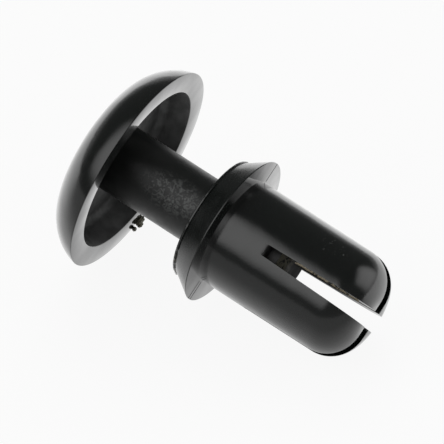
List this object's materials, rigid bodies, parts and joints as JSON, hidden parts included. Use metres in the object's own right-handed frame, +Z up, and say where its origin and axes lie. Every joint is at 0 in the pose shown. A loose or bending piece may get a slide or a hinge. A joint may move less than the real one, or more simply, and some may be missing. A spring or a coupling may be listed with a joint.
{
  "type": "plastic push rivet",
  "caption": "Black nylon push rivet: a hollow mushroom-headed plunger slides into a flanged, slotted sleeve whose legs spread behind a panel.",
  "frame": {"origin": "on the table under the middle of the rivet as it lies, at the bottom centre of its box", "axes": "+X along the rivet from the head towards the legs, level with the table; +Z up. The rivet's own axis lies in the XZ plane and falls about 12 degrees towards the legs, because it rests on the head's rim and on a leg's rounded tip"},
  "size_m": [0.0116, 0.0076, 0.0074],
  "materials": {
    "black_nylon": "glossy black injection-moulded nylon"
  },
  "bodies": {
    "sleeve": {"sleeve": "black_nylon"},
    "plunger": {"plunger": "black_nylon"}
  },
  "joints": [
    {"name": "plunger_push", "type": "slide", "parent": "sleeve", "child": "plunger", "axis": [0.9775, 0, -0.2107], "range_m": [0, 0.00397], "deforming": ["sleeve"]}
  ]
}
